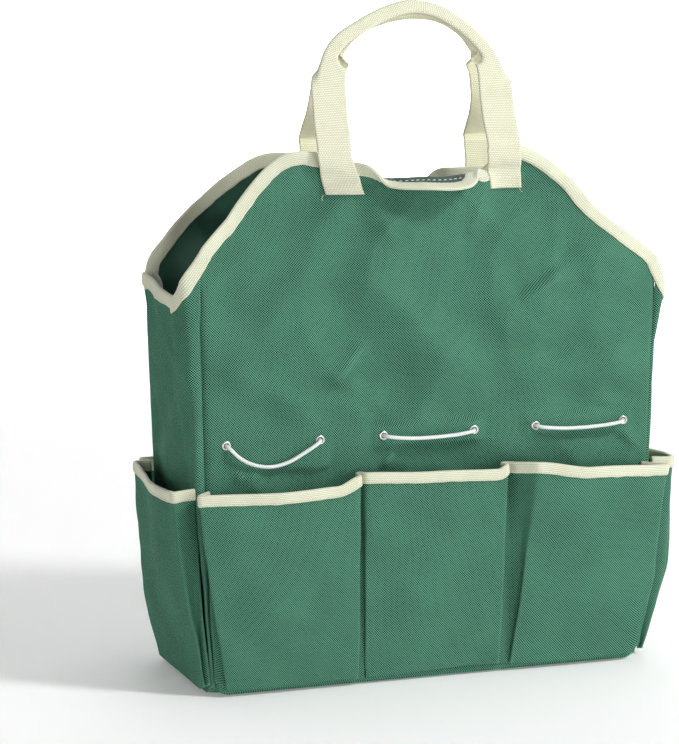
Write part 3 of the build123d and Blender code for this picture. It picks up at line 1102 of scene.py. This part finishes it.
# Pockets ------------
class Strip(Cloth):
    """A pleated strip of cloth on edge. Its flat pattern is measured along the mouth.
    A station is (along, out) at the foot, (along, out) at the mouth and a fullness: how soon
    the cloth reaches its mouth width on the way up. The sewn stations hold still."""

    step = 2.0

    def __init__(self, wall, stations, faces, heights, seed, foot):
        self.foot_height = foot
        self.seed = seed
        self.faces = faces
        self.foot, self.mouth, self.full = self.sample(stations)
        self.heights = heights
        super().__init__(wall, self.shape_at)

    def sample(self, stations):
        """The foot, the mouth and the fullness at points a step apart along the mouth."""
        cuts = []
        for a, b in zip(stations, stations[1:]):
            run = (Vector(b[1]) - Vector(a[1])).length
            count = max(2, round(run / self.step))
            cuts += [(a, b, k / count) for k in range(count)]
        cuts.append((stations[-1], stations[-1], 0.0))
        foot = [Vector(a[0]).lerp(Vector(b[0]), share) for a, b, share in cuts]
        mouth = [Vector(a[1]).lerp(Vector(b[1]), share) for a, b, share in cuts]
        full = [mix(a[2], b[2], share) for a, b, share in cuts]
        return self.soften(foot, 1), self.soften(mouth, 3), full

    @staticmethod
    def soften(points, passes):
        for _ in range(passes):
            inner = [(a + b * 2 + c) / 4 for a, b, c in zip(points, points[1:], points[2:])]
            points = [points[0], *inner, points[-1]]
        return points

    def top(self, k):
        """The mouth's height, which sags across each pocket and is held up at the seams."""
        x = self.mouth[min(len(self.mouth) - 1, round(k / self.step))].x
        for (x0, z0), (x1, z1) in zip(self.heights, self.heights[1:]):
            if x <= x1:
                return pocket_mouth + mix(z0, z1, smooth((x - x0) / (x1 - x0)))
        return pocket_mouth + self.heights[-1][1]

    def shape_at(self, k, up):
        spot = min(len(self.foot) - 1.001, max(0.0, k / self.step))
        i = int(spot)
        part = spot - i
        foot = self.foot[i].lerp(self.foot[i + 1], part)
        mouth = self.mouth[i].lerp(self.mouth[i + 1], part)
        share = (up - self.foot_height) / (pocket_mouth - self.foot_height)
        share = min(1.08, max(-0.05, share))
        rise = 1 - max(0.0, 1 - share) ** mix(self.full[i], self.full[i + 1], part)
        spot = foot.lerp(mouth, rise)
        out = spot.y
        for centre, half, swell, tilt in self.faces:
            across = hump((spot.x - centre) / half)
            out += swell * across * smooth(share * 2.4) * (0.75 + 0.25 * smooth(share))
            out += tilt * across * hump((share - 0.45) / 0.4)
        loose = smooth((spot.y - 2.0) / 5.0) * smooth(share * 4)
        out += loose * 3.6 * ripple(spot.x, up * 0.7, 46, self.seed)
        out += loose * 0.8 * ripple(spot.x, up, 17, self.seed + 2)
        return spot.x, up, out


sewn_out = 1.6        # where the strip is stitched down to the wall


def pleat(foot_sewn, foot_tuck, foot_corner, mouth_sewn, mouth_corner, out, full, foot_out=4.6):
    """Stations from a sewn line out to a pocket's corner, with the tucked fold between them."""
    half = (mouth_sewn + mouth_corner) / 2
    return [
        ((foot_sewn, sewn_out), (mouth_sewn, sewn_out), 1.2),
        ((foot_tuck, sewn_out + 1.3), (half, out * 0.5), 1.2),
        ((foot_corner, foot_out), (mouth_corner, out), full),
    ]


front_stations = (
    pleat(-184, -164, -173, -184, -198, 21, 1.25)
    + pleat(-62, -71, -63, -62, -64, 16, 1.4)[::-1]
    + pleat(-60, -51, -58.6, -60, -57.8, 9.5, 0.8, 2.6)
    + pleat(59, 50, 57.5, 60, 63, 10.5, 1.4)[::-1]
    + pleat(63, 76, 65, 66, 85, 20, 1.15)
    + pleat(184, 170, 189, 184, 202, 21, 0.75)[::-1]
)
front_faces = [(-130, 62, 6.0, 1.0), (2, 60, 2.0, 0.6), (140, 58, 4.5, 1.5)]
back_end = pleat(-67, -56, -66, -61, -67, 15, 2.3)
left_stations = back_end + pleat(67, 56, 65, 60, 63.5, 18, 1.7)[::-1]
right_stations = back_end + pleat(67, 56, 62, 60, 62, 22, 3.0, 6.0)[::-1]
left_faces = [(0, 64, 3.0, 1.0)]
right_faces = [(0, 64, 3.0, 1.0), (32, 36, 13.0, 4.0)]
front_heights = [
    (-198, -2), (-130, -3), (-84, -2.5), (-64, 4.5), (-58, 5.5), (0, 3), (54, 1.5), (62, 5),
    (84, 6), (130, 0), (202, -3),
]
side_heights = [(-66, 0), (-20, -2.5), (40, -3), (62, 0)]


def pocket(name, wall, stations, faces, heights, seed, replaced, hem_drop):
    """A strip of pockets and the tape over its mouth."""
    strip = Strip(wall, stations, faces, heights, seed, foot=4.0)
    steps = [i * strip.step for i in range(len(strip.foot))]
    tall = 62
    flat = []
    for j in range(tall + 1):
        row = []
        for foot, k in zip(strip.foot, steps):
            low = strip.foot_height + hem_drop * (0.55 + ripple(foot.x, 0, 90, seed + 4))
            row.append((k, mix(low, strip.top(k), j / tall)))
        flat.append(row)
    rows = [[strip.at(k, up) for k, up in row] for row in flat]
    thing = grid_object(name, rows, lambda j, i: flat[j][i], [green, inner], flip=strip.mirrored)
    thicken(thing, fabric - 0.2, inside=1)
    finish_piece(thing, [replaced])
    rim = [(k, strip.top(k)) for k in steps]
    whole = replaced.removesuffix("_panel")
    bind(f"{whole}_tape", strip, rim, f"{whole}_binding", step=1.6, seed=seed, trim=1.7)


long_strip = (front_stations, front_faces, front_heights)
left_strip = (left_stations, left_faces, side_heights)
right_strip = (right_stations, right_faces, side_heights)
for side, wall, strip, seed, node, hem_drop in (
    ("front", front_wall, long_strip, 71, "front_pocket_panel", 4.0),
    ("back", back_wall, long_strip, 79, "back_pocket_panel", 3.0),
    ("left", left_wall, left_strip, 83, "left_side_pocket", 1.0),
    ("right", right_wall, right_strip, 89, "right_side_pocket", 1.0),
):
    pocket(f"{side}_pocket_cloth", wall, *strip, seed, node, hem_drop)


# Eyelets and the knots behind them ------------
eyelet_profile = [          # (radius, out from the cloth's face) round a ring's section
    (2.1, -1.75), (2.1, 0.45), (2.35, 0.95), (2.8, 1.12), (3.3, 1.02), (3.75, 0.6), (3.9, 0.1),
    (3.7, -0.02), (2.75, -0.04), (2.75, -1.15), (3.7, -1.17), (3.9, -1.35), (3.7, -1.7),
    (3.0, -1.9), (2.4, -1.9),
]


def eyelets(name, cloth, replaced):
    """A rolled metal ring through the cloth round each end of each loop."""
    work = bmesh.new()
    sides = 32
    for x, _ in eyelets_at:
        axis = cloth.normal(x, eyelet_height, 3.0)
        centre = cloth.at(x, eyelet_height) + axis * (fabric / 2)
        rise = axis.cross(Vector((1, 0, 0))).normalized()
        across = rise.cross(axis)
        rings = [circle(centre + axis * out, across, rise, size, sides) for size, out in eyelet_profile]
        band(work, rings, closed=True)
    finish_piece(built(work, name, [metal]), [replaced])


def knots(name, wall, replaced):
    """A small overhand knot behind each eyelet, tied in the end of its cord."""
    work = bmesh.new()
    outward = (wall(0, 0, 1) - wall(0, 0, 0)).normalized()
    count = 60
    for x, side in eyelets_at:
        centre = wall(x, eyelet_height, -5.6)
        across = Vector((side, 0, 0))
        rise = outward.cross(across)
        line = []
        for k in range(count):
            angle = 2 * math.pi * k / count
            reach = 1.55 + 0.55 * math.cos(3 * angle)
            spoke = across * math.cos(2 * angle) + rise * math.sin(2 * angle)
            line.append(centre + spoke * reach + outward * math.sin(3 * angle))
        rings = []
        for i, point in enumerate(line):
            along = (line[(i + 1) % count] - line[i - 1]).normalized()
            beside = along.cross(Vector((0.2, 0.9, 0.4))).normalized()
            rings.append(circle(point, beside, along.cross(beside), 1.05, 8))
        band(work, rings, closed=True)
    finish_piece(built(work, name, [elastic]), [replaced])


for face, cloth in (("front", front_cloth), ("back", back_cloth)):
    eyelets(f"{face}_eyelet_rings", cloth, f"{face}_eyelets")
for face, wall in (("front", front_wall), ("back", back_wall)):
    knots(f"{face}_knots", wall, f"{face}_cord_knots")


# Handles ------------
# Each is one length of webbing: sewn to the wall, up a leg, folded in three round the grip and down.
front_loop = [
    (-77.5, 2), (-76.5, 20), (-75, 38), (-73.5, 56), (-71, 71), (-66, 84), (-56, 94.5),
    (-41, 103.5), (-20, 114), (3, 120.6), (25, 117), (43, 105.5), (57, 91), (65, 77), (67, 62),
    (66, 45), (65, 25), (64.5, 2),
]
back_loop = [
    (-57, 2), (-57, 25), (-57, 44), (-55.5, 60), (-51, 75), (-42, 91.5), (-27, 105), (-7, 112.5),
    (14, 115), (36, 111), (56, 99), (69, 84), (77, 68), (80, 52), (82.5, 38), (85, 20), (86, 2),
]
sewn_at = {"front": (-68, 69.5), "back": (-58, 84.5)}     # x of the strap ends, low on the walls
sewn_low = {"front": (389, 389), "back": (380, 370)}      # and how far up the strap ends begin
rim_hold = {"front": 409, "back": 398}      # the straps lie on the cloth up to here
rim_lean = {"front": 0.3, "back": -9.6}     # and at the fold line they stand this far out
lean = math.radians(24.8)                   # of both handles, towards each other
strap_half = 14.0
strap_shares = [k / 9 - 1 for k in range(19)]     # places across the strap, -1 to 1
strap_middle = 9
leg_steps = 22
grip_height = 78      # the grip is folded and stitched above here, over the fold line


def strap_leg(face, cloth, side, low, middle_low, middle_high):
    """One leg, lying on the wall and its rim: rows of points from the sewn end up."""
    rows = []
    for k in range(leg_steps + 1):
        up = mix(low, hinge.z - 1.5, k / leg_steps)
        over_tape = (tape + 0.3) * smooth((up - low - 16) / 5)
        middle = mix(middle_low, middle_high, k / leg_steps)
        row = []
        for share in strap_shares:
            x = middle + side * share * strap_half
            on_cloth = cloth.shape(x, min(up, rim_hold[face]))[2] + 0.35
            out = mix(on_cloth, rim_lean[face], smooth((up - 400) / 20))
            row.append(cloth.wall(x, up, out + webbing / 2 + over_tape))
        rows.append(row)
    return rows


def folded_row(spot, side, normal, height, travelled, seed):
    """Points across the raised webbing: flat low down, folded in three round the grip."""
    row = []
    for share in strap_shares:
        radius = 0.95 if share < 0 else 1.9
        folded = smooth((height - 71) / 11) if share < 0 else smooth((height - 50) / 36)
        reach = abs(share) * strap_half
        across, down = fold_over(reach, 3.9 + 4.6 * (1 - folded), radius, math.pi * folded)
        wave = 0.35 * ripple(travelled, share * 9, 16, seed) * (1 - folded)
        row.append(spot + side * math.copysign(across, share) + normal * (wave - down))
    return row


def handle_middle(face, legs, loop, pivot, rise, outward):
    """The webbing's middle line: (point, sideways direction, height, its row on a leg)."""
    flip = 1 if face == "front" else -1
    left, right = [
        [(row[strap_middle], Vector((side, 0, 0)), 0.0, row) for row in leg]
        for side, leg in zip((-1, 1), legs)
    ]
    arch = []
    top = spaced(loop, 2.4)
    for i, here in enumerate(top):
        along = heading(top, i)
        height = here.y
        drop = 1.6 * hump((height - 40) / 40) - 2.2 * (1 - smooth(height / 34))
        if face == "back":
            drop += 8.4 * (1 - smooth(height / 100)) + 10 * hump((height - 48) / 46)
        spot = pivot + Vector((here.x, drop * flip, 0)) + rise * height - outward * 0.9
        arch.append((spot, Vector((-along.y, 0, 0)) + rise * along.x, height, None))
    return left + arch + right[::-1]


def handle(face, cloth, loop, material):
    """Webbing from strap end to strap end, bending at the rim where the handle swings."""
    flip = 1 if face == "front" else -1
    pivot = Vector((hinge.x, hinge.y * flip, hinge.z))
    rise = Vector((0, math.sin(lean) * flip, math.cos(lean)))
    outward = Vector((0, -math.cos(lean) * flip, math.sin(lean)))
    legs = [
        strap_leg(face, cloth, side, low, middle, end[0])
        for side, low, middle, end in zip((-1, 1), sewn_low[face], sewn_at[face], (loop[0], loop[-1]))
    ]
    points = handle_middle(face, legs, loop, pivot, rise, outward)
    spots = [point[0] for point in points]
    rows = []
    flat = []
    travelled = 0.0
    for i, (spot, side, height, leg_row) in enumerate(points):
        if i:
            travelled += (spot - spots[i - 1]).length
        normal = heading(spots, i).cross(side).normalized()
        if normal.dot(outward) < 0:
            normal = -normal
        rows.append(leg_row or folded_row(spot, side, normal, height, travelled, 41 + flip))
        flat.append([(share * strap_half, travelled) for share in strap_shares])
    thing = grid_object(f"{face}_handle_webbing", rows, lambda j, i: flat[j][i], [material])
    thicken(thing, webbing)
    nodes = [f"{face}_handle", f"{face}_handle_ends"]
    blend_piece(thing, nodes)
    strap_stitching(face, rows, outward)


def strap_stitching(face, rows, outward):
    """Two rows of stitching across each strap end, joined down its sides, and one along the grip."""
    ends = Threads()
    lift = outward * (webbing / 2)
    inset = 2
    for sewn in (rows[:7], rows[:-8:-1]):
        for row in (sewn[1], sewn[-1]):
            ends.run([p + lift for p in row[inset:-inset]], [outward], 0.35, 2.2, 3.0)
        for column in (inset, len(sewn[0]) - 1 - inset):
            ends.run([row[column] + lift for row in sewn[1:]], [outward], 0.35, 2.2, 3.0)
    ends.build(f"{face}_strap_stitches", cream_thread)
    grip = Threads()
    folded = [row for row in rows if row[strap_middle].z > hinge.z + grip_height]
    line = [row[strap_middle].lerp(row[strap_middle - 3], 0.62) + lift for row in folded]
    grip.run(line, [outward], 0.32, 2.4, 3.4)
    grip.build(f"{face}_grip_stitches", cream_thread, f"{face}_handle")


handle("front", front_cloth, front_loop, strap)
# The back handle gets the webbing that is painted lighter: painted light.
handle("back", back_cloth, back_loop, painted_light_strap)


# Loose thread ends ------------
for x, steps in (
    (-83, [(-1.5, 0, -2.5), (0.5, -0.3, -2.2)]),
    (82, [(1.2, -0.2, -2.4), (1.6, 0, -0.8)]),
):
    sewing.tail(front_cloth.at(x, 389, 2.6), steps)
sewing.build("tape_stitches", cream_thread)

# The rim that flops over shows its inner face, with one white row of stitching
flap = Threads()
flap_seam = [(mix(-38, 30, k / 40), 412.4) for k in range(41)]
flap_line = [front_cloth.at(x, up, -fabric / 2) for x, up in flap_seam]
flap.run(flap_line, [-front_cloth.normal(x, up) for x, up in flap_seam], 0.42, 3.0, 5.0)
flap.build("flap_stitches", white_thread)
